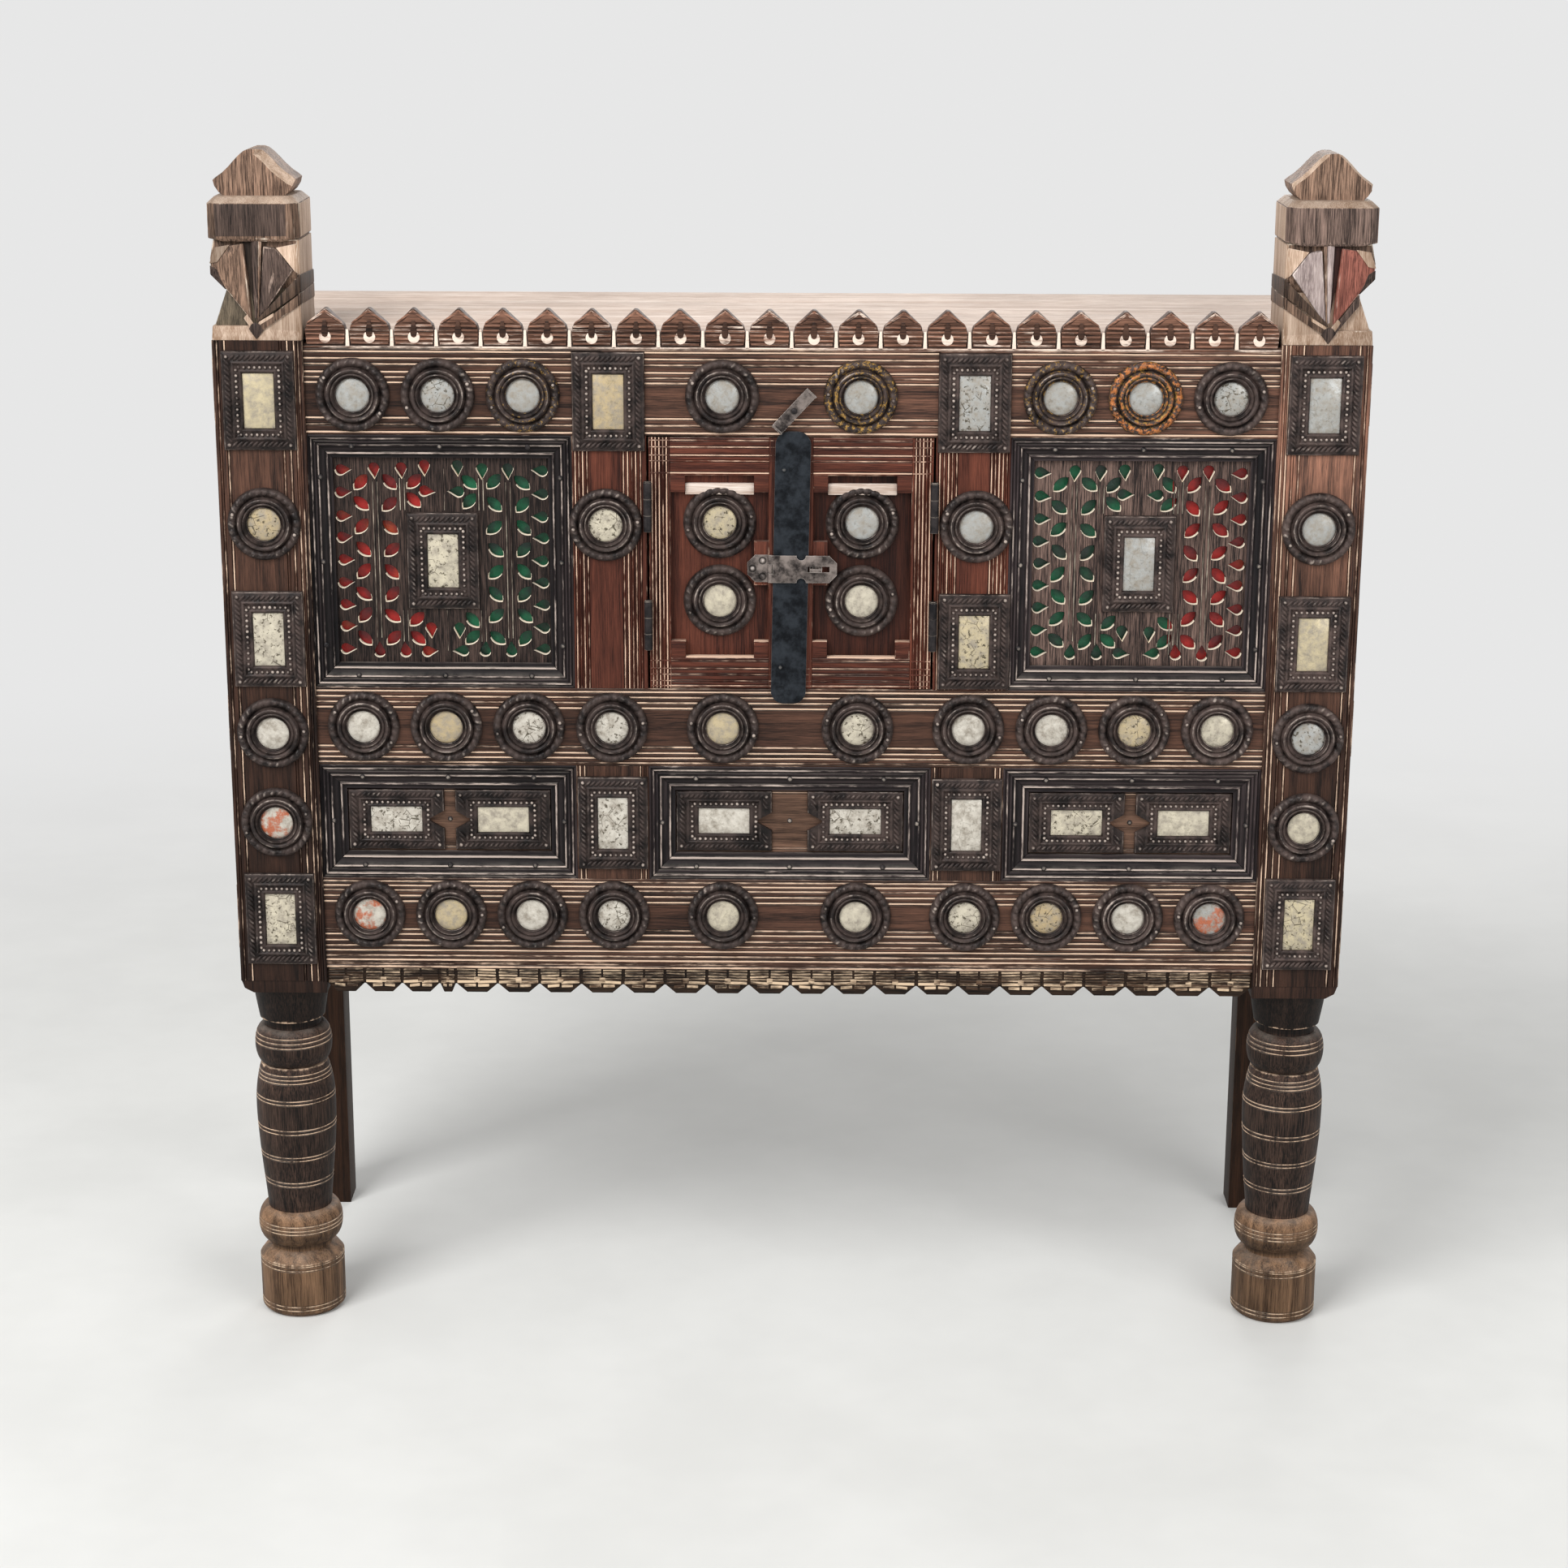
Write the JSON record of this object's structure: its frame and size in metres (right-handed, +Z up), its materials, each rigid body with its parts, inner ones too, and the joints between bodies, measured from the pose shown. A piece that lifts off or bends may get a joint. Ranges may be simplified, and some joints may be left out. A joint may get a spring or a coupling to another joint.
{
  "type": "dowry cabinet",
  "caption": "Carved wooden dowry cabinet on turned legs, with mirror tins, pierced panels, toothed crest, and hinged doors closed by a cover strip, hasp and turn button.",
  "frame": {"origin": "on the floor under the middle of the cabinet's box", "axes": "+X to the cabinet's right in the picture, +Y to its back, +Z up; the front faces -Y"},
  "size_m": [1.206, 0.3822, 1.297],
  "materials": {
    "frame_wood": "dark worn wood, pale on carved ridges",
    "door_wood": "red-brown worn wood",
    "moulding_wood": "reeded, worn along the ridges",
    "board_wood": "plain pale boards and posts, unfinished",
    "pressed_tin": "dark tarnished sheet",
    "mirror_glass": "aged silvering",
    "red_sheet": "red sheet",
    "green_sheet": "green sheet",
    "strip_paint": "blue-black paint on a flat iron strip",
    "hinge_iron": "dark iron",
    "hasp_steel": "dull worn steel"
  },
  "bodies": {
    "frame": {"apron_board": "frame_wood", "back_boards": "board_wood", "bottom_rail": "frame_wood", "button_screw": "hinge_iron", "centre_lower_moulding": "moulding_wood", "centre_lower_panel": "frame_wood", "crest_board": "frame_wood", "fixed_hinge_leaves": "hinge_iron", "floor_boards": "board_wood", "frame_round_mirrors": "mirror_glass", "frame_roundel_tins": "pressed_tin", "green_backing_sheets": "green_sheet", "hinge_pins": "hinge_iron", "left_front_post": "frame_wood", "left_lower_moulding": "moulding_wood", "left_lower_muntin": "frame_wood", "left_lower_panel": "frame_wood", "left_pierced_panel": "frame_wood", "left_rear_post": "board_wood", "left_upper_moulding": "moulding_wood", "left_upper_muntin": "door_wood", "middle_rail": "frame_wood", "moulding_nails": "hinge_iron", "rear_rails": "board_wood", "rectangular_mirrors": "mirror_glass", "rectangular_tins": "pressed_tin", "red_backing_sheets": "red_sheet", "right_front_post": "frame_wood", "right_lower_moulding": "moulding_wood", "right_lower_muntin": "frame_wood", "right_lower_panel": "frame_wood", "right_pierced_panel": "frame_wood", "right_rear_post": "board_wood", "right_upper_moulding": "moulding_wood", "right_upper_muntin": "door_wood", "side_boards": "board_wood", "side_rails": "board_wood", "top_boards": "board_wood", "top_rail": "frame_wood"},
    "left_door": {"left_door_stiles": "door_wood", "left_door_rails": "door_wood", "left_door_panel": "door_wood", "left_door_roundel_tins": "pressed_tin", "left_door_mirrors": "mirror_glass", "left_door_hinge_leaves": "hinge_iron", "cover_strip": "strip_paint", "strip_nails": "hinge_iron", "hasp_plate": "hasp_steel", "hasp_pin": "hasp_steel", "hasp_screws": "hasp_steel"},
    "right_door": {"right_door_stiles": "door_wood", "right_door_rails": "door_wood", "right_door_panel": "door_wood", "right_door_roundel_tins": "pressed_tin", "right_door_mirrors": "mirror_glass", "right_door_hinge_leaves": "hinge_iron", "staple": "hasp_steel"},
    "hasp_strap": {"hasp_strap": "hasp_steel"},
    "turn_button": {"turn_button": "hinge_iron"}
  },
  "joints": [
    {"name": "left_door_swing", "type": "hinge", "parent": "frame", "child": "left_door", "pos_m": [-0.1503, -0.1821, 0.868], "axis": [0, 0, -1], "range_deg": [0, 110]},
    {"name": "right_door_swing", "type": "hinge", "parent": "frame", "child": "right_door", "pos_m": [0.1503, -0.1821, 0.868], "axis": [0, 0, 1], "range_deg": [0, 110]},
    {"name": "hasp_swing", "type": "hinge", "parent": "left_door", "child": "hasp_strap", "pos_m": [-0.0215, -0.1806, 0.8665], "axis": [0, 0, -1], "range_deg": [0, 140]},
    {"name": "button_turn", "type": "hinge", "parent": "frame", "child": "turn_button", "pos_m": [0.003, -0.1825, 1.034], "axis": [0, -1, 0], "continuous": true}
  ],
  "couplings": [
    {"joint": "right_door_swing", "follows": "left_door_swing", "ratio": 1}
  ]
}
